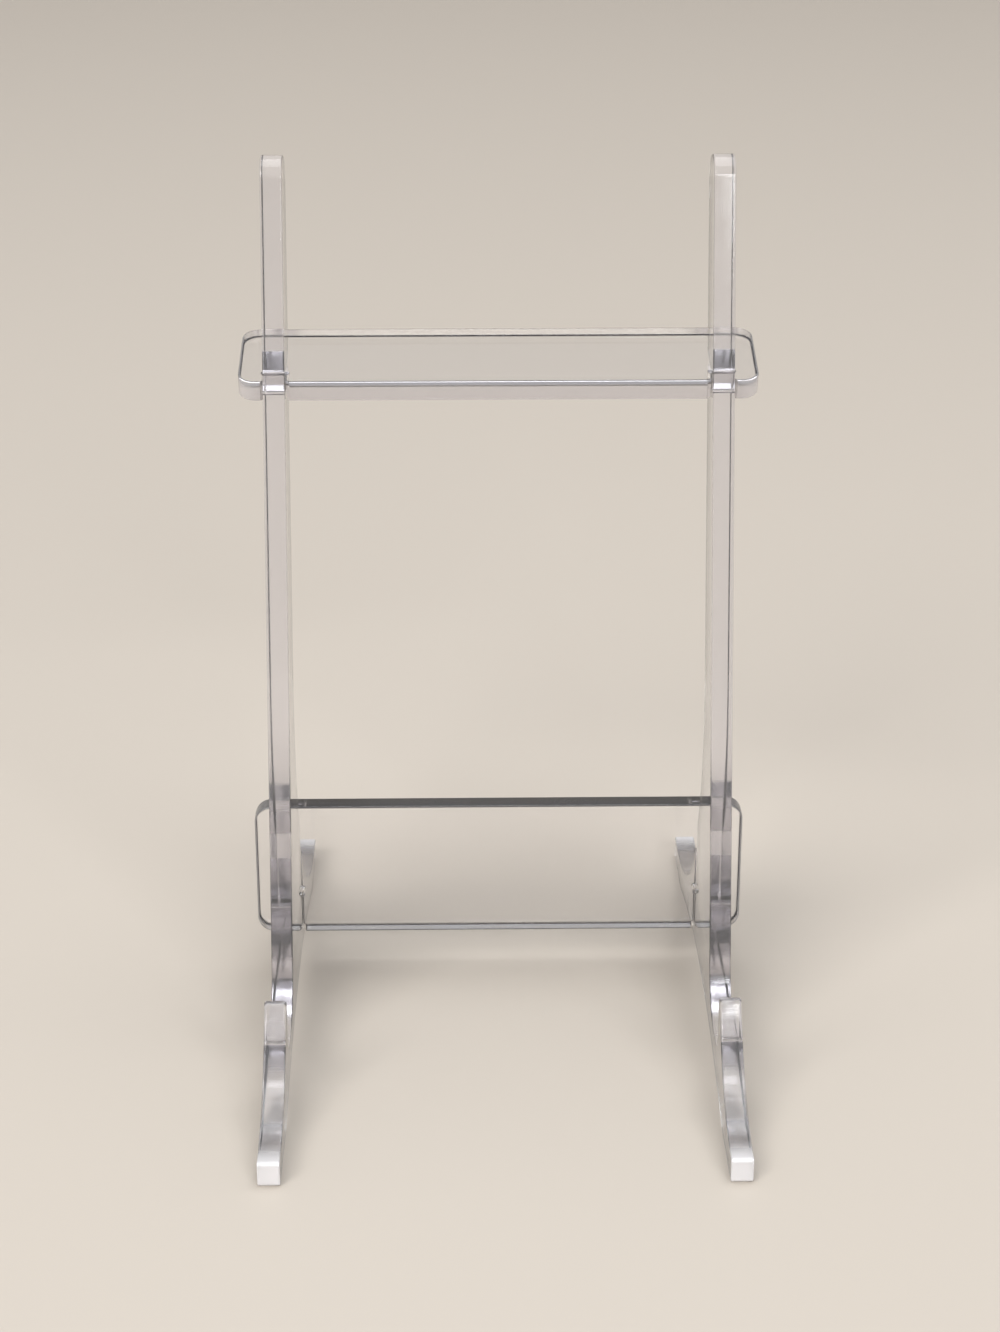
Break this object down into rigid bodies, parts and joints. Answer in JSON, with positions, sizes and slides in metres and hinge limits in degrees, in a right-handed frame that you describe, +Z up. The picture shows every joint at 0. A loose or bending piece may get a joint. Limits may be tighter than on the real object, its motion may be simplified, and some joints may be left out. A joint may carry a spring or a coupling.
{
  "type": "plate display stand",
  "caption": "Clear slot-together plate display stand: side legs with low toes and upturned lips hold the rim, leaning uprights back the plate, and cross struts tie the legs.",
  "frame": {"origin": "middle of the stand's footprint, on the shelf that it stands on", "axes": "+Z up, -Y towards the viewer and the plate's face, +X to the viewer's right"},
  "size_m": [0.119, 0.16, 0.2],
  "materials": {
    "clear_sheet": "clear cast acrylic sheet with polished faces and flame-polished cut edges"
  },
  "bodies": {
    "side_legs": {"left_side_leg": "clear_sheet", "right_side_leg": "clear_sheet"},
    "lower_strut": {"lower_cross_strut": "clear_sheet"},
    "upper_strut": {"upper_cross_strut": "clear_sheet"}
  },
  "joints": [
    {"name": "lower_strut_lift", "type": "slide", "parent": "side_legs", "child": "lower_strut", "axis": [0, 0, 1], "range_m": [0, 0.05]},
    {"name": "upper_strut_draw", "type": "slide", "parent": "side_legs", "child": "upper_strut", "axis": [0, 0.9659, 0.2588], "range_m": [0, 0.04]}
  ]
}
